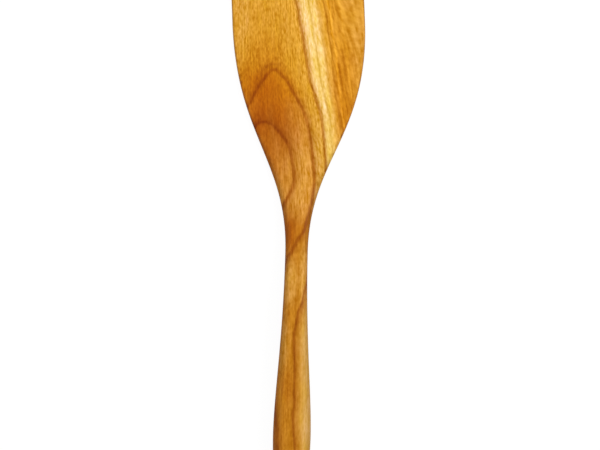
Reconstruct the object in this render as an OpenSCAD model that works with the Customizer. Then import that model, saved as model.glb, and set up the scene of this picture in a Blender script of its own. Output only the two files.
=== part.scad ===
// A wooden spatula carved from one board. A broad flat blade draws in through long shoulders to a slim
// neck, and the handle swells again to a rounded grip. It lies on its back with the blade's tip towards
// +Y and its front up, so the planed back of the blade and the end of the grip touch the table.
// Every section square to the length is a flat middle between two rounded edges, and one loft runs
// through all of them from the tip to the end of the handle.

/* [Overall] */
// Length from the middle of the tip to the end of the handle
total_length = 280; // [260:1:320]

/* [Blade outline] */
// Width across the blade
blade_width = 66.6; // [56:0.2:76]
// Length from the tip over which the blade keeps its full width
blade_straight = 33; // [24:1:44]
// Radius of the two corners of the tip
tip_corner_radius = 9; // [5:0.5:14]
// How far the middle of the tip stands out past its corners
tip_crown = 4; // [1:0.5:8]
// Length from the tip over which the crown fades out
crown_fade = 60; // [40:1:80]
// How far the hand-cut blade leans to its left at the tip
tip_lean = 4; // [0:0.25:6]
// Length from the tip over which the lean fades out
lean_fade = 95; // [60:1:110]

/* [Shoulders and neck] */
// Distance from the tip to the narrowest part of the neck
neck_from_tip = 148.5; // [135:0.5:162]
// Width of the neck at its narrowest
neck_width = 11.2; // [9:0.1:14]
// How far the blade's edge runs on before the shoulder turns in
shoulder_run = 57.5; // [46:0.5:68]
// How far the neck's edge runs back towards the shoulder
neck_run_up = 46.5; // [36:0.5:56]

/* [Grip outline] */
// Width of the grip at its widest
grip_width = 18.8; // [15:0.1:24]
// Distance from the end of the handle to the widest part of the grip
grip_from_end = 40; // [32:1:48]
// How far the neck's edge runs on before the handle swells
neck_run_down = 43.5; // [34:0.5:52]
// How far the grip's edge runs back towards the neck
grip_run_up = 21.5; // [14:0.5:28]
// How far the grip's edge runs on before its end closes
grip_run_down = 14; // [9:0.5:20]
// How bluntly the end of the grip closes, as the reach of its round to each side
end_reach = 7.5; // [5:0.1:9]
// Width of the small flat that closes the end of the handle
end_flat_width = 1.6; // [0.8:0.1:3]

/* [Thickness] */
// Thickness of the blade just behind the edge of its tip
tip_thickness = 2.4; // [1.6:0.1:4]
// Thickness of the blade at its heel, where the front starts to climb
heel_thickness = 5; // [4:0.1:7]
// Distance from the tip to the heel
heel_from_tip = 90; // [75:1:100]
// Height of the handle's front above the table at its crest
crest_height = 15; // [12:0.1:18]
// Distance from the tip to the crest
crest_from_tip = 192; // [178:1:205]
// Height that the handle's front falls to towards its end
end_front_height = 12; // [10:0.1:14]
// Height of the middle of the handle's end above the table
end_middle_height = 6; // [4:0.1:7]
// Length over which the end of the handle rounds off in side view
end_round_length = 15; // [10:0.5:20]
// How much higher the middle of the front is than its edges
front_camber = 0.6; // [0.2:0.1:1]

/* [Back] */
// Length of the blade's back that lies flat on the table
back_flat_length = 110; // [95:1:125]
// Height of the arch under the handle
arch_height = 4; // [2:0.1:5]
// Distance from the end of the handle to where it touches the table again
rest_from_end = 18; // [14:0.5:24]
// Wood that the plane takes off the blade's back
planed_depth = 0.3; // [0.1:0.05:0.5]
// Length over which the planed back runs out under the neck
plane_runout = 25; // [15:1:35]

/* [Edges] */
// Width of the rounding along the blade's edges
blade_edge_round = 1.3; // [0.8:0.1:1.6]
// Width of the rounding along the handle's edges at the grip
grip_edge_round = 5.4; // [4:0.1:6.5]
// Distance from the tip to where the edges start to round over more
edge_change_from_tip = 78; // [60:1:90]
// Length of the rounding over the edge of the tip
tip_edge_round = 1.4; // [0.8:0.1:2]
// Height of the narrow flat left along the edge of the tip
tip_edge_flat = 0.5; // [0.3:0.1:1]

/* [Hidden] */

wood_colour = [0.80, 0.55, 0.24];

// Steps of the loft: round each edge, across each flat, and along each stretch of the length
edge_steps = 12;
flat_steps = 10;
tip_edge_steps = 5;
tip_corner_steps = 7;
blade_steps = 6;
shoulder_steps = 26;
handle_steps = 16;
grip_end_steps = 20;

blade_half = blade_width / 2;
neck_half = neck_width / 2;
grip_half = grip_width / 2;
grip_from_tip = total_length - grip_from_end;
rest_from_tip = total_length - rest_from_end;
end_round_from_tip = total_length - end_round_length;
tip_middle_height = tip_thickness / 2;

// How quickly the lean dies away from the tip
lean_power = 1.8;
// Largest share of the half width that an edge's rounding may take
most_rounded_share = 0.7;
// Largest share of the thickness that the camber may take
most_camber_share = 1 / 8;
// Length that the plane's cut has past the blade on all sides
cut_margin = 10;

// Share that eases from 0 to 1 as its argument does, level at both ends
function ease(u) = let (v = max(0, min(1, u))) v * v * (3 - 2 * v);

// Share that grows from 0 to 1 as its argument does, level at the far end
function ease_out(u) = let (v = max(0, min(1, u))) v * (2 - v);

// Point at t on the cubic curve through p and s, pulled towards q and r
function curve(p, q, r, s, t) =
    pow(1 - t, 3) * p + 3 * t * pow(1 - t, 2) * q + 3 * t * t * (1 - t) * r + pow(t, 3) * s;

// Outline, as stations of [distance from the tip, half width]

function corner_half(d) =
    let (left = max(0, tip_corner_radius - d))
    blade_half - tip_corner_radius + sqrt(pow(tip_corner_radius, 2) - left * left);

tip_edge_stations = [
    for (i = [0 : tip_edge_steps - 1])
        let (d = tip_edge_round * (1 - cos(90 * i / tip_edge_steps)))
        [d, corner_half(d)]
];

corner_start = acos(1 - tip_edge_round / tip_corner_radius);
tip_corner_stations = [
    for (i = [0 : tip_corner_steps - 1])
        let (d = tip_corner_radius * (1 - cos(corner_start + (90 - corner_start) * i / tip_corner_steps)))
        [d, corner_half(d)]
];

blade_stations = [
    for (i = [0 : blade_steps - 1])
        [tip_corner_radius + (blade_straight - tip_corner_radius) * i / blade_steps, blade_half]
];

shoulder_stations = [
    for (i = [0 : shoulder_steps - 1])
        curve(
            [blade_straight, blade_half],
            [blade_straight + shoulder_run, blade_half],
            [neck_from_tip - neck_run_up, neck_half],
            [neck_from_tip, neck_half],
            i / shoulder_steps
        )
];

handle_stations = [
    for (i = [0 : handle_steps - 1])
        curve(
            [neck_from_tip, neck_half],
            [neck_from_tip + neck_run_down, neck_half],
            [grip_from_tip - grip_run_up, grip_half],
            [grip_from_tip, grip_half],
            i / handle_steps
        )
];

grip_end_stations = [
    for (i = [0 : grip_end_steps])
        curve(
            [grip_from_tip, grip_half],
            [grip_from_tip + grip_run_down, grip_half],
            [total_length, end_reach],
            [total_length, end_flat_width / 2],
            i / grip_end_steps
        )
];

stations = concat(
    tip_edge_stations,
    tip_corner_stations,
    blade_stations,
    shoulder_stations,
    handle_stations,
    grip_end_stations
);

// Sideways place of the section's middle, where the blade leans over near the tip
function lean(d) = -tip_lean * pow(max(0, 1 - d / lean_fade), lean_power);

// Middle between the furthest left and the furthest right, which is put on the centre line
side_shift = (
    max([for (s = stations) lean(s[0]) + s[1]]) + min([for (s = stations) lean(s[0]) - s[1]])
) / 2;

// Side view

// Share of the full thickness that is left where the handle's end rounds off
function end_share(d) =
    let (u = max(0, (d - end_round_from_tip) / end_round_length))
    max(end_flat_width / 2 / end_middle_height, sqrt(max(0, 1 - u * u)));

// Height of the front along the middle, before the ends round off
function raw_front(d) =
    d < heel_from_tip
        ? tip_thickness + (heel_thickness - tip_thickness) * ease_out(d / heel_from_tip)
    : d < crest_from_tip
        ? heel_thickness
            + (crest_height - heel_thickness) * ease((d - heel_from_tip) / (crest_from_tip - heel_from_tip))
    : crest_height
        - (crest_height - end_front_height) * pow((d - crest_from_tip) / (total_length - crest_from_tip), 2);

// Height of the back along the middle, before the ends round off
function raw_back(d) =
    let (
        along = max(0, min(1, (d - back_flat_length) / (rest_from_tip - back_flat_length))),
        planed = 1 - ease((d - back_flat_length) / plane_runout)
    )
    arch_height * pow(sin(180 * along), 2) - planed_depth * planed;

// Height at d of a face whose raw height is given, where the tip's edge or the handle's end rounds it over
function rounded(d, raw, tip_flat_height) =
    let (u = max(0, 1 - d / tip_edge_round))
    d < tip_edge_round ? tip_flat_height + (raw - tip_flat_height) * sqrt(1 - u * u)
    : d > end_round_from_tip ? end_middle_height + (raw - end_middle_height) * end_share(d)
    : raw;

function front_height(d) = rounded(d, raw_front(d), tip_middle_height + tip_edge_flat / 2);

function back_height(d) = rounded(d, raw_back(d), tip_middle_height - tip_edge_flat / 2);

// Width of the edge's rounding, from tight on the blade to wide on the handle
function edge_round(d, half) =
    let (
        share = ease((d - edge_change_from_tip) / (neck_from_tip - edge_change_from_tip)),
        wide = half * grip_edge_round / grip_half
    )
    min(blade_edge_round + (wide - blade_edge_round) * share, half * most_rounded_share);

// One section, anticlockwise from the foot of its right edge, as [across, height]
function section(d, half) =
    let (
        round_width = edge_round(d, half),
        flat_half = half - round_width,
        camber = min(front_camber, (front_height(d) - back_height(d)) * most_camber_share),
        low = back_height(d),
        front_at_edge = front_height(d) - camber * pow(flat_half / half, 2),
        middle = (front_at_edge + low) / 2,
        reach = (front_at_edge - low) / 2
    )
    concat(
        [
            for (i = [0 : edge_steps])
                let (a = -90 + 180 * i / edge_steps)
                [flat_half + round_width * cos(a), middle + reach * sin(a)]
        ],
        [
            for (i = [1 : flat_steps - 1])
                let (x = flat_half * (1 - 2 * i / flat_steps))
                [x, front_height(d) - camber * pow(x / half, 2)]
        ],
        [
            for (i = [0 : edge_steps])
                let (a = 90 + 180 * i / edge_steps)
                [-flat_half + round_width * cos(a), middle + reach * sin(a)]
        ],
        [
            for (i = [1 : flat_steps - 1])
                [-flat_half * (1 - 2 * i / flat_steps), low]
        ]
    );

// The section set in place, bent to the crown of the tip
function ring(station) =
    let (
        d = station[0],
        sag = tip_crown * pow(max(0, 1 - d / crown_fade), 2)
    )
    [
        for (p = section(d, station[1]))
            [
                p[0] + lean(d) - side_shift,
                total_length / 2 - d - sag * pow(p[0] / blade_half, 2),
                p[1]
            ]
    ];

// Loft

ring_size = 2 * (edge_steps + 1) + 2 * (flat_steps - 1);
ring_count = len(stations);
loft_points = [for (s = stations) each ring(s)];

// Two triangles for each cell between one ring and the next
wall_faces = [
    for (k = [0 : ring_count - 2], i = [0 : ring_size - 1])
        let (
            j = (i + 1) % ring_size,
            a = k * ring_size + i,
            b = k * ring_size + j,
            c = (k + 1) * ring_size + j,
            e = (k + 1) * ring_size + i
        )
        each [[a, c, b], [a, e, c]]
];

// Point of a ring that lies straight above or below point i
function across(i) = (edge_steps - i + ring_size) % ring_size;

// Strips between the front and the back close an end, so that it can follow the crown of the tip
cap_first = edge_steps / 2;
cap_last = cap_first + edge_steps + flat_steps - 1;
cap_faces = [
    for (i = [cap_first : cap_last])
        each [
            if (i + 1 != across(i + 1)) [i, i + 1, across(i + 1)],
            if (i != across(i)) [i, across(i + 1), across(i)]
        ]
];
last_ring = (ring_count - 1) * ring_size;
end_cap_faces = [for (f = cap_faces) [f[2] + last_ring, f[1] + last_ring, f[0] + last_ring]];

// Block that the plane takes away under the blade
module plane_cut() {
    cut_length = back_flat_length + plane_runout + cut_margin;
    translate([-blade_width, total_length / 2 + cut_margin - cut_length, -cut_margin])
        cube([2 * blade_width, cut_length, cut_margin]);
}

module spatula() {
    color(wood_colour)
        difference() {
            polyhedron(
                points = loft_points,
                faces = concat(wall_faces, cap_faces, end_cap_faces),
                convexity = 6
            );
            plane_cut();
        }
}

spatula();
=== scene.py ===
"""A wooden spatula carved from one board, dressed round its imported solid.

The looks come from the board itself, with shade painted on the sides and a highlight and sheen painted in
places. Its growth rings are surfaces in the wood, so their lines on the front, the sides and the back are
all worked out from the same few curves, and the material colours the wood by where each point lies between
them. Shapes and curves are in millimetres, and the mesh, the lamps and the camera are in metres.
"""

import math

import bpy
import numpy as np
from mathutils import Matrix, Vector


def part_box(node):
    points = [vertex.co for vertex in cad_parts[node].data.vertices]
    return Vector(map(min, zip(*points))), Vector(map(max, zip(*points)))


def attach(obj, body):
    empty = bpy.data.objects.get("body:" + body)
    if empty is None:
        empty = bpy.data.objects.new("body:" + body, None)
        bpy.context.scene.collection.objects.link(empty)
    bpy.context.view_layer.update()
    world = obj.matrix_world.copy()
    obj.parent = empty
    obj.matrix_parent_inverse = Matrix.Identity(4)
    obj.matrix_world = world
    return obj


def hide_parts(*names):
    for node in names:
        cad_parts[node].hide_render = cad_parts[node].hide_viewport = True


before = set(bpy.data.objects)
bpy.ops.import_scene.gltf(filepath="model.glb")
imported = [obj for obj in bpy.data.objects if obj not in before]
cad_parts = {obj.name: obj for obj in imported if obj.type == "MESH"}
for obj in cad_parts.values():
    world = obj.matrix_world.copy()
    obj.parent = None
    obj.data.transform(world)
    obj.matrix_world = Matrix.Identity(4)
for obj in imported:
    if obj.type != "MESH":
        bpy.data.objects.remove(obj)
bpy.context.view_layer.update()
low_corner, high_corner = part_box("spatula")

MM = 0.001

# Outline of the blade and the handle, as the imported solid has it
TOTAL_LENGTH = (high_corner.y - low_corner.y) / MM
BLADE_WIDTH = 66.6
BLADE_STRAIGHT = 33
TIP_CORNER_RADIUS = 9
TIP_CROWN = 4
CROWN_FADE = 60
TIP_LEAN = 4
LEAN_FADE = 95
LEAN_POWER = 1.8
NECK_FROM_TIP = 148.5
NECK_WIDTH = 11.2
SHOULDER_RUN = 57.5
NECK_RUN_UP = 46.5
NECK_RUN_DOWN = 43.5
GRIP_WIDTH = 18.8
GRIP_FROM_TIP = TOTAL_LENGTH - 40
GRIP_RUN_UP = 21.5
GRIP_RUN_DOWN = 14
END_REACH = 7.5
END_FLAT_WIDTH = 1.6

# Side view
TIP_THICKNESS = 2.4
HEEL_THICKNESS = 5
HEEL_FROM_TIP = 90
CREST_HEIGHT = high_corner.z / MM
CREST_FROM_TIP = 192
END_FRONT_HEIGHT = 12
END_MIDDLE_HEIGHT = 6
END_ROUND_LENGTH = 15
FRONT_CAMBER = 0.6
MOST_CAMBER_SHARE = 1 / 8
BACK_FLAT_LENGTH = 110
PLANE_RUNOUT = 25
PLANED_DEPTH = 0.3
ARCH_HEIGHT = 4
REST_FROM_TIP = TOTAL_LENGTH - 18

# Edges
BLADE_EDGE_ROUND = 1.3
GRIP_EDGE_ROUND = 5.4
MOST_ROUNDED_SHARE = 0.7
EDGE_CHANGE_FROM_TIP = 78
TIP_EDGE_ROUND = 1.4
TIP_EDGE_FLAT = 0.5

# Steps of the mesh: round an edge, across the front or the back, and along each stretch of the length
EDGE_STEPS = 12
FLAT_STEPS = 80
STRETCH_STEPS = {"tip edge": 8, "tip corner": 14, "blade": 28, "shoulder": 140, "handle": 108, "end": 54}

BLADE_HALF = BLADE_WIDTH / 2
NECK_HALF = NECK_WIDTH / 2
GRIP_HALF = GRIP_WIDTH / 2
TIP_MIDDLE_HEIGHT = TIP_THICKNESS / 2


def ease(u):
    """Share that eases from 0 to 1 as its argument does, level at both ends."""
    v = np.clip(u, 0, 1)
    return v * v * (3 - 2 * v)


def ease_out(u):
    """Share that grows from 0 to 1 as its argument does, level at the far end."""
    v = np.clip(u, 0, 1)
    return v * (2 - v)


def cubic(p, q, r, s, steps):
    """Points on the cubic curve through p and s, pulled towards q and r, without the last."""
    t = np.linspace(0, 1, steps, endpoint=False)[:, None]
    p, q, r, s = (np.array(point, float) for point in (p, q, r, s))
    return (1 - t) ** 3 * p + 3 * t * (1 - t) ** 2 * q + 3 * t**2 * (1 - t) * r + t**3 * s


def tip_stations(first, last, steps):
    """Stations round the tip's corners, evenly spaced by angle."""
    turn = np.linspace(first, last, steps, endpoint=False)
    d = TIP_CORNER_RADIUS * (1 - np.cos(turn))
    return np.stack([d, BLADE_HALF - TIP_CORNER_RADIUS * (1 - np.sin(turn))], axis=1)


def stations():
    """Distance from the tip and half width of every section, from the tip to the handle's end."""
    edge_turn = math.acos(1 - TIP_EDGE_ROUND / TIP_CORNER_RADIUS)
    straight = np.linspace(TIP_CORNER_RADIUS, BLADE_STRAIGHT, STRETCH_STEPS["blade"], endpoint=False)
    end = (TOTAL_LENGTH, END_FLAT_WIDTH / 2)
    return np.concatenate([
        tip_stations(0, edge_turn, STRETCH_STEPS["tip edge"]),
        tip_stations(edge_turn, math.pi / 2, STRETCH_STEPS["tip corner"]),
        np.stack([straight, np.full_like(straight, BLADE_HALF)], axis=1),
        cubic(
            (BLADE_STRAIGHT, BLADE_HALF),
            (BLADE_STRAIGHT + SHOULDER_RUN, BLADE_HALF),
            (NECK_FROM_TIP - NECK_RUN_UP, NECK_HALF),
            (NECK_FROM_TIP, NECK_HALF),
            STRETCH_STEPS["shoulder"],
        ),
        cubic(
            (NECK_FROM_TIP, NECK_HALF),
            (NECK_FROM_TIP + NECK_RUN_DOWN, NECK_HALF),
            (GRIP_FROM_TIP - GRIP_RUN_UP, GRIP_HALF),
            (GRIP_FROM_TIP, GRIP_HALF),
            STRETCH_STEPS["handle"],
        ),
        cubic(
            (GRIP_FROM_TIP, GRIP_HALF),
            (GRIP_FROM_TIP + GRIP_RUN_DOWN, GRIP_HALF),
            (TOTAL_LENGTH, END_REACH),
            end,
            STRETCH_STEPS["end"],
        ),
        np.array([end]),
    ])


def lean(d):
    """Sideways place of a section's middle, where the blade leans over near the tip."""
    return -TIP_LEAN * np.maximum(0, 1 - d / LEAN_FADE) ** LEAN_POWER


def raw_front(d):
    """Height of the front along the middle, before the ends round off."""
    blade = TIP_THICKNESS + (HEEL_THICKNESS - TIP_THICKNESS) * ease_out(d / HEEL_FROM_TIP)
    climb = ease((d - HEEL_FROM_TIP) / (CREST_FROM_TIP - HEEL_FROM_TIP))
    fall = np.maximum(0, d - CREST_FROM_TIP) / (TOTAL_LENGTH - CREST_FROM_TIP)
    rise = (CREST_HEIGHT - HEEL_THICKNESS) * climb
    return blade + rise - (CREST_HEIGHT - END_FRONT_HEIGHT) * fall**2


def raw_back(d):
    """Height of the back along the middle, before the ends round off and the plane flattens it."""
    along = np.clip((d - BACK_FLAT_LENGTH) / (REST_FROM_TIP - BACK_FLAT_LENGTH), 0, 1)
    planed = 1 - ease((d - BACK_FLAT_LENGTH) / PLANE_RUNOUT)
    return ARCH_HEIGHT * np.sin(math.pi * along) ** 2 - PLANED_DEPTH * planed


def rounded(d, raw, tip_flat_height):
    """Height of a face where the tip's edge or the handle's end rounds it over."""
    at_tip = np.maximum(0, 1 - d / TIP_EDGE_ROUND)
    at_end = np.maximum(0, (d - TOTAL_LENGTH + END_ROUND_LENGTH) / END_ROUND_LENGTH)
    least_share = END_FLAT_WIDTH / 2 / END_MIDDLE_HEIGHT
    end_share = np.maximum(least_share, np.sqrt(np.maximum(0, 1 - at_end**2)))
    tip = tip_flat_height + (raw - tip_flat_height) * np.sqrt(1 - at_tip**2)
    end = END_MIDDLE_HEIGHT + (raw - END_MIDDLE_HEIGHT) * end_share
    return np.where(at_tip > 0, tip, np.where(at_end > 0, end, raw))


def front_height(d):
    return rounded(d, raw_front(d), TIP_MIDDLE_HEIGHT + TIP_EDGE_FLAT / 2)


def back_height(d):
    return rounded(d, raw_back(d), TIP_MIDDLE_HEIGHT - TIP_EDGE_FLAT / 2)


def edge_round(d, half):
    """Width of the edge's rounding, from tight on the blade to wide on the handle."""
    share = ease((d - EDGE_CHANGE_FROM_TIP) / (NECK_FROM_TIP - EDGE_CHANGE_FROM_TIP))
    wide = half * GRIP_EDGE_ROUND / GRIP_HALF
    return np.minimum(BLADE_EDGE_ROUND + (wide - BLADE_EDGE_ROUND) * share, half * MOST_ROUNDED_SHARE)


def sections(d, half):
    """Every section's points, round its right edge, over the front, round the left edge and back below."""
    round_width = edge_round(d, half)
    flat_half = half - round_width
    front, back = front_height(d), back_height(d)
    camber = np.minimum(FRONT_CAMBER, (front - back) * MOST_CAMBER_SHARE)
    front_at_edge = front - camber * (flat_half / half) ** 2
    middle, reach = (front_at_edge + back) / 2, (front_at_edge - back) / 2
    turn = np.radians(np.linspace(-90, 90, EDGE_STEPS + 1))
    over = np.linspace(1, -1, FLAT_STEPS + 1)[1:-1]
    right_x = flat_half + round_width * np.cos(turn)
    right_z = middle + reach * np.sin(turn)
    front_x = flat_half * over
    front_z = front - camber * (front_x / half) ** 2
    back_z = back + 0 * over
    x = np.concatenate([right_x, front_x, -right_x[:, ::-1], -front_x], axis=1)
    z = np.concatenate([right_z, front_z, right_z[:, ::-1], back_z], axis=1)
    depth_share = np.clip((front_at_edge - z) / (front_at_edge - back), 0, 1)
    planed = d <= BACK_FLAT_LENGTH + PLANE_RUNOUT
    return x, np.where(planed, np.maximum(z, 0), z), depth_share


def shape():
    """The loft's points, their place on the board, and its faces.

    A point's place is how far right of the handle's line it lies, how far from the tip and how high, and
    how far the growth rings have moved outwards on the way down to it from the front.
    """
    station = stations()
    d, half = station[:, :1], station[:, 1:]
    x, z, depth_share = sections(d, half)
    across = x + lean(d)
    along = d + TIP_CROWN * np.maximum(0, 1 - d / CROWN_FADE) ** 2 * (x / BLADE_HALF) ** 2
    middle_shift = ((lean(d) + half).max() + (lean(d) - half).min()) / 2
    points = np.stack([across - middle_shift, TOTAL_LENGTH / 2 - along, z], axis=-1)
    below = ease((depth_share - RINGS_UPRIGHT_SHARE) / (1 - RINGS_UPRIGHT_SHARE))
    ring_shift = RING_DIP * (front_height(d) - back_height(d)) * below
    places = {
        "across": across,
        "along": along,
        "height": z,
        "depth_share": depth_share,
        "ring_shift": ring_shift,
    }
    count, size = x.shape
    faces = wall_faces(count, size) + cap_faces(0, size, False) + cap_faces((count - 1) * size, size, True)
    return points.reshape(-1, 3), {name: place.reshape(-1) for name, place in places.items()}, faces


def wall_faces(count, size):
    """Faces between each section and the next."""
    return [
        (k * size + i, (k + 1) * size + i, (k + 1) * size + (i + 1) % size, k * size + (i + 1) % size)
        for k in range(count - 1)
        for i in range(size)
    ]


def cap_faces(first, size, turned):
    """Strips between the front and the back that close an end, so that it can follow the tip's crown."""
    faces = []
    for i in range(EDGE_STEPS // 2, EDGE_STEPS // 2 + EDGE_STEPS + FLAT_STEPS):
        below, next_below = (EDGE_STEPS - i) % size, (EDGE_STEPS - i - 1) % size
        corners = list(dict.fromkeys([i, i + 1, next_below, below]))
        if turned:
            corners.reverse()
        faces.append(tuple(first + corner for corner in corners))
    return faces


# Growth rings, as lines on the front: places across and along, outermost side on the left as they run.
# Ring 2 is the innermost and runs round the heartwood at the left shoulder.
RING_2 = [
    (-40, 120), (-27, 96), (-22.7, 87), (-20.2, 84.5), (-17.8, 84), (-15.4, 84.5), (-13, 86), (-8.8, 90.5),
    (-6, 94.5), (-4.4, 99), (-3, 105), (-2.3, 111.5), (-2.8, 116), (-4.6, 120.3), (-7.5, 126), (-12.5, 137),
    (-17, 151), (-18.6, 168), (-18.5, 193), (-17.2, 223), (-14, 283),
]
RING_1 = [
    (-45, 115), (-33.5, 93.5), (-29.8, 84.5), (-26.4, 76.5), (-23.8, 71.6), (-20.6, 65.5), (-18.1, 61.9),
    (-16.3, 59.4), (-14, 57.8), (-11.5, 58.6), (-9.1, 61.2), (-6.6, 63.9), (-4.3, 68), (-2.1, 71.5),
    (0.8, 76.5), (2.8, 80.8), (4.2, 85.9), (6, 94.2), (6.8, 100), (7.9, 109.8), (7.8, 116), (7.1, 122),
    (5.6, 130), (3.1, 138.2), (0.1, 142.8), (-2.4, 148.2), (-5, 152.7), (-8.2, 165.3), (-10.7, 182.8),
    (-11.2, 202.9), (-9.8, 220.3), (-7.6, 235.3), (-7, 244), (-6.2, 262.7), (-5.2, 283),
]
RING_0 = [
    (-8, -2), (-6.1, 12.7), (-3.1, 25), (-1.7, 32.6), (-0.1, 38.8), (1.6, 48.5), (3.2, 55.8), (4.2, 61.8),
    (6.2, 67.7), (7.7, 72.3), (9.6, 77.5), (10.5, 81), (11.8, 89.7), (12.8, 98.4), (13.5, 108), (13.1, 117),
    (11.4, 130), (7.9, 150), (5.3, 164), (4, 169.5), (3.1, 174), (1.7, 177.5), (0.8, 182.5), (0.1, 186.6),
    (-0.2, 190.6), (0.3, 203.6), (0.7, 223.6), (0.2, 228.3), (0.6, 236), (1.6, 245.5), (2.3, 262.5), (3.3, 283),
]
PALE_STRIPE_END = [
    (7, -3), (8.4, 12.3), (10, 22.2), (11.6, 28.2), (12.8, 37.7), (14.8, 48), (16, 57.9), (17.8, 71),
    (19.6, 80.3), (20.2, 85.5), (21.6, 97), (22, 112), (20.9, 129.5), (18.4, 147), (16.3, 164.6), (15.9, 187),
    (16.8, 222), (18.3, 283),
]
# How far a ring moves outwards for each millimetre of thickness, and the share of it that it goes
# straight down first
RING_DIP = 2.5
RINGS_UPRIGHT_SHARE = 0.4
# Width of a ring past the last traced line, on either side
OUTER_RING_WIDTH = 11
LINE_STEPS = 12
POINTS_AT_A_TIME = 4000


def smooth_line(points):
    """A fine line through points, smooth where it passes them."""
    line = np.array(points, float)
    line = np.concatenate([2 * line[:1] - line[1:2], line, 2 * line[-1:] - line[-2:-1]])
    p, q, r, s = line[:-3, None], line[1:-2, None], line[2:-1, None], line[3:, None]
    t = np.linspace(0, 1, LINE_STEPS, endpoint=False)[None, :, None]
    fine = q + (r - p) / 2 * t + (p - 2.5 * q + 2 * r - s / 2) * t**2 + (1.5 * (q - r) + (s - p) / 2) * t**3
    return np.concatenate([fine.reshape(-1, 2), line[-2:-1]])


def beyond(places, points):
    """Distance of each place past a line, less than 0 on its inner side."""
    line = smooth_line(points)
    start, run = line[:-1], np.diff(line, axis=0)
    distances = []
    for first in range(0, len(places), POINTS_AT_A_TIME):
        offset = places[first : first + POINTS_AT_A_TIME, None] - start
        share = np.clip((offset * run).sum(-1) / (run**2).sum(-1), 0, 1)
        rest = offset - share[..., None] * run
        far = np.hypot(rest[..., 0], rest[..., 1])
        nearest = far.argmin(axis=1)
        rows = np.arange(len(nearest))
        side = rest[rows, nearest, 0] * run[nearest, 1] - rest[rows, nearest, 1] * run[nearest, 0]
        distances.append(np.copysign(far[rows, nearest], side))
    return np.concatenate(distances)


def ring_attributes(places):
    """Where each point of the surface lies among the rings."""
    flat = np.stack([places["across"], places["along"]], axis=1)
    past_2, past_1, past_0, past_stripe = (
        beyond(flat, line) - places["ring_shift"] for line in (RING_2, RING_1, RING_0, PALE_STRIPE_END)
    )
    age = np.select(
        [past_2 < 0, past_1 < 0, past_0 < 0, past_stripe < 0],
        [
            -2 + past_2 / OUTER_RING_WIDTH,
            -2 + past_2 / (past_2 - past_1),
            -1 + past_1 / (past_1 - past_0),
            past_0 / (past_0 - past_stripe),
        ],
        1 + past_stripe / OUTER_RING_WIDTH,
    )
    return {
        "past_ring_2": past_2,
        "past_ring_1": past_1,
        "past_ring_0": past_0,
        "past_stripe": past_stripe,
        "stripe_width": past_0 - past_stripe,
        "ring_age": age,
    }


# The fibres lean with the rings near the tip: how far over at the tip, where the lean ends and its power,
# and the share of it that the wood at some places across follows
GRAIN_LEAN = 21
GRAIN_LEAN_END = 115
GRAIN_LEAN_POWER = 1.15
GRAIN_FOLLOWS = [(-30, 0), (6, 1), (16, 1), (32, 0.35)]

# Soft patches on the front, partly paler and deeper tones of the wood and partly a painted highlight down the
# neck's right side and painted shade down its left: across, along, half width, half length, strength
PALE_AND_HIGHLIGHT_PATCHES = [
    (-31, 30, 5, 24, 0.35),
    (-3, 163, 4, 11, 0.5),
    # Partly a paler tone, partly a painted highlight down the neck's right side
    (4, 160, 2.5, 14, 0.5),
    (-6, 194, 3.5, 13, 0.4),
]
DEEP_AND_SHADE_PATCHES = [
    (-25, 74, 8, 18, 0.9),
    (-18, 64, 6, 8, 0.6),
    (-16.5, 48, 8, 8, 0.35),
    (22, 68, 7, 26, 0.6),
    # Partly a dark spot in the wood, partly painted shade down the neck's left side
    (-4, 139, 3, 9, 0.9),
    (-3, 215, 3, 8, 0.6),
]
# The second, fainter line outside ring 1 where it turns: distance past the ring, place and size of the turn
SECOND_LINE_PAST = 3.1
TURN_PATCHES = [(-15.5, 58, 7, 7, 1)]


def spots(places, patches):
    """Strength of soft patches at each point, faded towards the back."""
    total = np.zeros_like(places["across"])
    for across, along, half_width, half_length, strength in patches:
        far = ((places["across"] - across) / half_width) ** 2 + ((places["along"] - along) / half_length) ** 2
        total += strength * np.exp(-(far**2))
    return np.clip(total, 0, 1) * (1 - ease(places["depth_share"]))


def wood_attributes(places):
    """The grain's own place across and the patches, for each point of the surface."""
    left = np.maximum(0, 1 - places["along"] / GRAIN_LEAN_END)
    follows = np.interp(places["across"], *zip(*GRAIN_FOLLOWS))
    return {
        "grain": places["across"] + GRAIN_LEAN * left**GRAIN_LEAN_POWER * follows,
        "pale": spots(places, PALE_AND_HIGHLIGHT_PATCHES),
        "deep": spots(places, DEEP_AND_SHADE_PATCHES),
        "turn": spots(places, TURN_PATCHES),
    }


def spatula_mesh():
    points, places, faces = shape()
    mesh = bpy.data.meshes.new("carved_spatula")
    mesh.from_pydata((points * MM).tolist(), [], faces)
    mesh.validate()
    mesh.polygons.foreach_set("use_smooth", [True] * len(mesh.polygons))
    mesh.set_sharp_from_angle(angle=math.radians(35))
    for name, values in {**places, **ring_attributes(places), **wood_attributes(places)}.items():
        attribute = mesh.attributes.new(name, "FLOAT", "POINT")
        attribute.data.foreach_set("value", values.astype(np.float32))
    return mesh


def srgb(red, green, blue):
    """A colour as a screen shows it, 0 to 255, turned into the light it stands for."""
    shares = [value / 255 for value in (red, green, blue)]
    return (*[s / 12.92 if s <= 0.04045 else ((s + 0.055) / 1.055) ** 2.4 for s in shares], 1)


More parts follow.
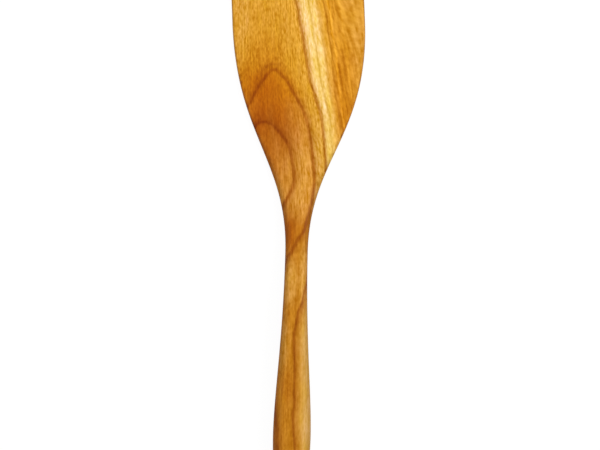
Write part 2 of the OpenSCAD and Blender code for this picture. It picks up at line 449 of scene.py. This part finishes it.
class Graph:
    """Short ways to add the nodes of one material."""

    def __init__(self, name):
        self.material = bpy.data.materials.new(name)
        self.material.use_nodes = True
        self.tree = self.material.node_tree
        self.tree.nodes.clear()

    def add(self, kind, inputs=None, **settings):
        node = self.tree.nodes.new(kind)
        for name, value in settings.items():
            setattr(node, name, value)
        for socket, value in (inputs or {}).items():
            self.put(node.inputs[socket], value)
        return node

    def put(self, socket, value):
        if isinstance(value, bpy.types.NodeSocket):
            self.tree.links.new(value, socket)
        else:
            socket.default_value = value

    def attribute(self, name):
        return self.add("ShaderNodeAttribute", attribute_name=name).outputs["Fac"]

    def math(self, operation, first, second=0.0):
        return self.add("ShaderNodeMath", {0: first, 1: second}, operation=operation).outputs[0]

    def scaled(self, value, from_low, from_high, to_low=0.0, to_high=1.0):
        inputs = {
            "Value": value,
            "From Min": from_low,
            "From Max": from_high,
            "To Min": to_low,
            "To Max": to_high,
        }
        return self.add("ShaderNodeMapRange", inputs).outputs["Result"]

    def ramp(self, value, stops):
        """Colour of a value, from (value, colour) stops."""
        low, high = stops[0][0], stops[-1][0]
        node = self.add("ShaderNodeValToRGB", {"Fac": self.scaled(value, low, high)})
        elements = node.color_ramp.elements
        elements.remove(elements[1])
        for place, colour in stops:
            share = (place - low) / (high - low)
            element = elements[0] if place == low else elements.new(share)
            element.position = share
            element.color = colour
        return node.outputs["Color"]

    def profile(self, value, points):
        """Height of a smooth curve at a value, from (value, height) points."""
        low, high = points[0][0], points[-1][0]
        node = self.add("ShaderNodeFloatCurve", {"Value": self.scaled(value, low, high)})
        node.mapping.use_clip = False
        curve = node.mapping.curves[0]
        for place, height in points[1:-1]:
            curve.points.new((place - low) / (high - low), height)
        curve.points[0].location = (0, points[0][1])
        curve.points[-1].location = (1, points[-1][1])
        node.mapping.update()
        return node.outputs["Value"]

    def mix(self, factor, first, second, blend="MIX"):
        node = self.add("ShaderNodeMix", data_type="RGBA", blend_type=blend, clamp_factor=False)
        self.put(node.inputs["Factor"], factor)
        self.put(node.inputs[6], first)
        self.put(node.inputs[7], second)
        return node.outputs[2]

    def tint(self, colour, strength, light):
        """A colour dimmed by what a tint gives back, as far as its strength goes."""
        return self.mix(1.0, colour, self.mix(strength, WHITE, light), "MULTIPLY")

    def noise(self, place, size, detail=2.0, roughness=0.5):
        """Noise from 0 to 1 whose lumps have a size in millimetres across, along and deep."""
        scale = tuple(1 / length for length in size)
        stretched = self.add("ShaderNodeVectorMath", {0: place, 1: scale}, operation="MULTIPLY").outputs[0]
        inputs = {"Vector": stretched, "Scale": 1.0, "Detail": detail, "Roughness": roughness}
        return self.add("ShaderNodeTexNoise", inputs).outputs["Fac"]


WHITE = (1, 1, 1, 1)

# Colours by ring age, from the heartwood outwards: on the blade, the shoulders and the handle. The shoulders'
# paler, greyer tones are partly the wood's own and partly a painted sheen
BLADE_TONES = [
    (-4.0, srgb(168, 92, 14)),
    (-2.6, srgb(180, 100, 14)),
    (-2.2, srgb(172, 90, 8)),
    (-2.0, srgb(174, 92, 8)),
    (-1.8, srgb(174, 90, 5)),
    (-1.5, srgb(184, 100, 6)),
    (-1.2, srgb(194, 113, 8)),
    (-1.0, srgb(200, 123, 12)),
    (-0.85, srgb(206, 133, 20)),
    (-0.6, srgb(213, 147, 32)),
    (-0.3, srgb(216, 153, 42)),
    (-0.04, srgb(222, 159, 50)),
    (0.05, srgb(222, 168, 80)),
    (0.13, srgb(240, 190, 104)),
    (0.2, srgb(248, 208, 124)),
    (0.62, srgb(249, 207, 118)),
    (0.76, srgb(236, 182, 84)),
    (0.84, srgb(231, 170, 62)),
    (1.0, srgb(224, 158, 48)),
    (1.2, srgb(218, 148, 34)),
    (1.6, srgb(216, 148, 34)),
    (2.2, srgb(217, 152, 50)),
    (3.5, srgb(212, 148, 46)),
]
# Paler and greyer than the blade's: partly the wood's tone, partly a painted sheen
SHOULDER_TONES = [
    (-4.0, srgb(184, 112, 24)),
    (-2.6, srgb(202, 134, 46)),
    (-2.2, srgb(202, 134, 44)),
    (-2.0, srgb(200, 130, 40)),
    (-1.8, srgb(204, 138, 48)),
    (-1.5, srgb(213, 148, 56)),
    (-1.2, srgb(212, 145, 54)),
    (-1.0, srgb(208, 140, 50)),
    (-0.85, srgb(217, 159, 70)),
    (-0.5, srgb(222, 165, 70)),
    (-0.2, srgb(218, 160, 58)),
    (-0.04, srgb(220, 160, 58)),
    (0.05, srgb(216, 162, 76)),
    (0.2, srgb(243, 202, 106)),
    (0.45, srgb(246, 204, 108)),
    (0.62, srgb(244, 191, 88)),
    (0.78, srgb(230, 172, 66)),
    (0.95, srgb(222, 158, 48)),
    (1.1, srgb(211, 141, 24)),
    (2.0, srgb(208, 138, 24)),
    (3.5, srgb(206, 140, 38)),
]
HANDLE_TONES = [
    (-4.0, srgb(158, 88, 12)),
    (-2.0, srgb(172, 98, 12)),
    (-1.3, srgb(182, 108, 16)),
    (-1.0, srgb(188, 114, 20)),
    (-0.85, srgb(196, 126, 28)),
    (-0.5, srgb(194, 125, 26)),
    (-0.1, srgb(190, 121, 24)),
    (0.02, srgb(190, 120, 24)),
    (0.13, srgb(202, 137, 42)),
    (0.2, srgb(210, 150, 56)),
    (0.27, srgb(216, 162, 72)),
    (0.36, srgb(218, 168, 80)),
    (1.5, srgb(212, 160, 78)),
]
# Distances from the tip between which each gives way to the next. The shoulders' start later towards the
# heartwood, by so many millimetres a ring.
SHOULDER_TONES_FROM = (52, 78)
SHOULDER_DELAY = 16
DELAYED_AGES = (-3, -1)
HANDLE_TONES_FROM = (122, 136)

# Light that a ring's darkest line gives back, next to the wood round it
RING_DARK = (0.60, 0.40, 0.08, 1)
# Strength of a ring's dark line by distance past it. Its inner side is sharp and the outer one fades.
RING_PROFILE = [
    (-6, 0), (-4, -0.04), (-2, -0.13), (-1.1, 0.05), (-0.6, 0.5), (-0.15, 0.97), (0.2, 1), (0.6, 0.78),
    (1, 0.52), (1.8, 0.28), (3, 0.1), (6, 0),
]
# Width of each ring's line, as a share of that profile, and its strength
RING_LINES = {"past_ring_2": (1.1, 0.85), "past_ring_1": (1.2, 0.85), "past_ring_0": (0.85, 0.85)}
SECOND_LINE_STRENGTH = 0.5
# Thin lines in the pale stripe: their place as a share of its width, and their strength
STRIPE_LINES = [(0.45, 0.8), (0.76, 0.6), (1.0, 1.0)]
# Thin lines past it: distance and strength. Less than 0 is a light line.
SAPWOOD_LINES = [(2.1, -0.8), (3.3, 0.5), (5.6, 0.4), (7.6, -0.4)]
THIN_DARK = (0.76, 0.66, 0.35, 1)
THIN_PROFILE = [(-2, 0), (-1, -0.08), (-0.4, 0.6), (0, 1), (0.4, 0.7), (1, 0.12), (2, 0)]
LINE_WANDER = 0.25

# Light that the darkest and the palest fibres give back, next to the wood's own colour
FIBRE_DARK = (0.77, 0.65, 0.02, 1)
FIBRE_LIGHT = (1.23, 1.35, 2.0, 1)
# How strongly short flecks and long streaks show, by ring age
FLECK_STRENGTH = [(-3, 0.6), (-1.1, 0.7), (-0.9, 0.9), (0, 0.9), (0.2, 0.6), (1, 0.6), (3, 0.6)]
STREAK_STRENGTH = [(-3, 0.5), (-1, 0.5), (0, 0.55), (0.2, 0.4), (0.9, 0.6), (1.2, 1), (3, 1)]
SHOULDER_STREAKS = 1.9
HANDLE_FIBRES = 0.65
# Broad figure, from golden to pinkish, and bands that run with the rings
FIGURE_GOLD = (0.95, 0.92, 0.5, 1)
FIGURE_PINK = (1.05, 1.06, 1.5, 1)

# Colour of the pale patches, partly the wood's paler tone and partly a painted highlight
PALE_AND_HIGHLIGHT_COLOUR = srgb(228, 172, 78)
# What the deep patches give back, partly the wood's deeper tone and partly painted shade
DEEP_AND_SHADE_TINT = (0.84, 0.66, 0.25, 1)
# Light that the painted shade on the sides gives back, next to the wood's own colour
SIDE_PAINTED_SHADE = (0.7, 0.66, 0.62, 1)
# Painted shade on the sides: how much a side is darkened by share of the depth, so that the front and the back
# keep their colours
SIDE_SHADE_PROFILE = [(0, 0), (0.06, 0.25), (0.25, 0.9), (0.5, 1), (0.75, 0.8), (1, 0)]


def wood_material():
    """Oiled wood, coloured by the rings, with figure, fibres, flecks, painted shade on the sides, a painted
    highlight and sheen in places, and a soft shine.
    """
    g = Graph("oiled_wood_rings")
    across, along, height, grain = (g.attribute(name) for name in ("across", "along", "height", "grain"))
    place = g.add("ShaderNodeCombineXYZ", {0: grain, 1: along, 2: height}).outputs[0]
    age = g.attribute("ring_age")
    mottle = g.scaled(g.noise(place, (7, 16, 7)), 0.25, 0.75, -1, 1)

    ragged = g.math("ADD", along, g.math("MULTIPLY", mottle, 5.0))
    delay = g.math("MULTIPLY", g.scaled(age, *DELAYED_AGES, *DELAYED_AGES), SHOULDER_DELAY)
    on_shoulder = g.scaled(g.math("ADD", ragged, delay), *SHOULDER_TONES_FROM)
    on_handle = g.scaled(ragged, *HANDLE_TONES_FROM)
    colour = g.mix(on_shoulder, g.ramp(age, BLADE_TONES), g.ramp(age, SHOULDER_TONES))
    colour = g.mix(on_handle, colour, g.ramp(age, HANDLE_TONES))

    broken = g.scaled(mottle, -1, 1, 0.7, 1.3)
    # Pale patches: paler wood, and a painted highlight on the neck
    colour = g.mix(g.math("MULTIPLY", g.attribute("pale"), broken), colour, PALE_AND_HIGHLIGHT_COLOUR)
    # Deep patches: darker wood, and painted shade down the neck's left
    colour = g.tint(colour, g.math("MULTIPLY", g.attribute("deep"), broken), DEEP_AND_SHADE_TINT)
    figure = g.scaled(g.noise(place, (3, 10, 3)), 0.25, 0.75)
    colour = g.mix(1.0, colour, g.mix(figure, FIGURE_GOLD, FIGURE_PINK), "MULTIPLY")

    wander = g.scaled(g.noise(place, (1.2, 6, 1.2)), 0.2, 0.8, -LINE_WANDER, LINE_WANDER)
    boldness = g.scaled(g.noise(place, (5, 14, 5)), 0.3, 0.7, 0.75, 1.1)
    for name, (width, strength) in RING_LINES.items():
        past = g.math("DIVIDE", g.math("ADD", g.attribute(name), wander), width)
        line = g.math("MULTIPLY", g.profile(past, RING_PROFILE), strength)
        colour = g.tint(colour, g.math("MULTIPLY", line, boldness), RING_DARK)
    past = g.math("SUBTRACT", g.attribute("past_ring_1"), SECOND_LINE_PAST)
    line = g.math("MULTIPLY", g.profile(past, RING_PROFILE), SECOND_LINE_STRENGTH)
    colour = g.tint(colour, g.math("MULTIPLY", line, g.attribute("turn")), RING_DARK)

    off_handle = g.math("SUBTRACT", 1.0, on_handle)
    thin_lines = [
        (g.math("MULTIPLY", g.math("SUBTRACT", age, share), g.attribute("stripe_width")), strength)
        for share, strength in STRIPE_LINES
    ]
    past_stripe = g.attribute("past_stripe")
    thin_lines += [(g.math("SUBTRACT", past_stripe, past), strength) for past, strength in SAPWOOD_LINES]
    for past, strength in thin_lines:
        line = g.profile(g.math("ADD", past, wander), THIN_PROFILE)
        line = g.math("MULTIPLY", g.math("MULTIPLY", line, strength), off_handle)
        colour = g.tint(colour, line, THIN_DARK)

    fleck = g.scaled(g.noise(place, (0.95, 2.4, 0.95), 1, 0.5), 0.25, 0.75, -1, 1)
    streak = g.scaled(g.noise(place, (0.9, 14, 0.9), 1, 0.5), 0.25, 0.75, -1, 1)
    fleck = g.math("MULTIPLY", fleck, g.profile(age, FLECK_STRENGTH))
    streak = g.math("MULTIPLY", streak, g.profile(age, STREAK_STRENGTH))
    streak = g.math("MULTIPLY", streak, g.scaled(on_shoulder, 0, 1, 1, SHOULDER_STREAKS))
    fibres = g.math("MULTIPLY", g.math("ADD", fleck, streak), g.scaled(on_handle, 0, 1, 1, HANDLE_FIBRES))
    fibre = g.scaled(fibres, -1, 1)
    colour = g.mix(1.0, colour, g.mix(fibre, FIBRE_DARK, FIBRE_LIGHT), "MULTIPLY")
    # Painted shade on the sides, strongest halfway between the front and the back
    colour = g.tint(colour, g.profile(g.attribute("depth_share"), SIDE_SHADE_PROFILE), SIDE_PAINTED_SHADE)

    roughness = g.scaled(fibre, 0, 1, 0.42, 0.5)
    bump = g.add("ShaderNodeBump", {"Strength": 0.3, "Distance": 0.03 * MM, "Height": fibre}).outputs[0]
    shader = g.add(
        "ShaderNodeBsdfPrincipled",
        {"Base Color": colour, "Roughness": roughness, "Normal": bump, "Specular IOR Level": 0.08},
    )
    g.add("ShaderNodeOutputMaterial", {"Surface": shader.outputs[0]})
    return g.material


def add_spatula():
    piece = bpy.data.objects.new("carved_spatula", spatula_mesh())
    bpy.context.collection.objects.link(piece)
    piece.data.materials.append(wood_material())
    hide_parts("spatula")
    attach(piece, "root")


# The floor's own colour, and what it adds for the camera alone so that it shows as plain white
FLOOR_SIZE = 6
FLOOR_SHADE = 0.6
FLOOR_CAMERA_DIFFUSE = 0.12
FLOOR_CAMERA_GLOW = 0.92


def floor_material():
    """Plain pale floor, white to the camera with the object's shadow still on it."""
    g = Graph("pale_floor")
    plain = g.add("ShaderNodeBsdfDiffuse", {"Color": (FLOOR_SHADE,) * 3 + (1,)}).outputs[0]
    shadowed = g.add("ShaderNodeBsdfDiffuse", {"Color": (FLOOR_CAMERA_DIFFUSE,) * 3 + (1,)}).outputs[0]
    glow = g.add("ShaderNodeEmission", {"Color": WHITE, "Strength": FLOOR_CAMERA_GLOW}).outputs[0]
    seen = g.add("ShaderNodeAddShader", {0: shadowed, 1: glow}).outputs[0]
    to_camera = g.add("ShaderNodeLightPath").outputs["Is Camera Ray"]
    surface = g.add("ShaderNodeMixShader", {0: to_camera, 1: plain, 2: seen}).outputs[0]
    g.add("ShaderNodeOutputMaterial", {"Surface": surface})
    return g.material


def add_floor():
    half = FLOOR_SIZE / 2
    mesh = bpy.data.meshes.new("floor")
    corners = [(-half, -half, 0), (half, -half, 0), (half, half, 0), (-half, half, 0)]
    mesh.from_pydata(corners, [], [(0, 1, 2, 3)])
    mesh.materials.append(floor_material())
    floor = bpy.data.objects.new("floor", mesh)
    bpy.context.collection.objects.link(floor)


# Soft lamps: name, place in metres, size in metres, power in watts
LAMPS = [
    ("key_right", (1.0, 0.1, 0.9), 0.9, 10),
    ("fill_left", (-1.1, 0.2, 0.9), 1.2, 6),
    ("fill_tip", (0.1, 1.2, 0.9), 1.2, 5.5),
]
WORLD_LIGHT = 0.4


def add_lights():
    for name, place, size, power in LAMPS:
        light = bpy.data.lights.new(name, "AREA")
        light.shape = "DISK"
        light.size = size
        light.energy = power
        lamp = bpy.data.objects.new(name, light)
        lamp.location = place
        lamp.rotation_mode = "QUATERNION"
        lamp.rotation_quaternion = (-lamp.location).to_track_quat("-Z", "Y")
        bpy.context.collection.objects.link(lamp)
    world = bpy.data.worlds.new("studio")
    world.use_nodes = True
    tree = world.node_tree
    tree.nodes.clear()
    path = tree.nodes.new("ShaderNodeLightPath")
    dim = tree.nodes.new("ShaderNodeBackground")
    dim.inputs["Strength"].default_value = WORLD_LIGHT
    white = tree.nodes.new("ShaderNodeBackground")
    for background in (dim, white):
        background.inputs["Color"].default_value = WHITE
    mix = tree.nodes.new("ShaderNodeMixShader")
    output = tree.nodes.new("ShaderNodeOutputWorld")
    tree.links.new(path.outputs["Is Camera Ray"], mix.inputs[0])
    tree.links.new(dim.outputs[0], mix.inputs[1])
    tree.links.new(white.outputs[0], mix.inputs[2])
    tree.links.new(mix.outputs[0], output.inputs["Surface"])
    bpy.context.scene.world = world


# The camera looks straight down at the middle of the length that the photograph shows
CAMERA_ACROSS = 3.89
CAMERA_FROM_TIP = 135
CAMERA_HEIGHT = 837.3
CAMERA_TURN = 1.4731
CAMERA_LENS = 100
CAMERA_SENSOR = 36


def add_camera():
    data = bpy.data.cameras.new("camera")
    data.lens = CAMERA_LENS
    data.sensor_width = CAMERA_SENSOR
    camera = bpy.data.objects.new("camera", data)
    y = high_corner.y - CAMERA_FROM_TIP * MM
    camera.location = (CAMERA_ACROSS * MM, y, CAMERA_HEIGHT * MM)
    camera.rotation_euler = (0, 0, math.radians(CAMERA_TURN))
    bpy.context.collection.objects.link(camera)
    bpy.context.scene.camera = camera


add_camera()
add_spatula()
add_floor()
add_lights()
bpy.context.scene.view_settings.view_transform = "Standard"
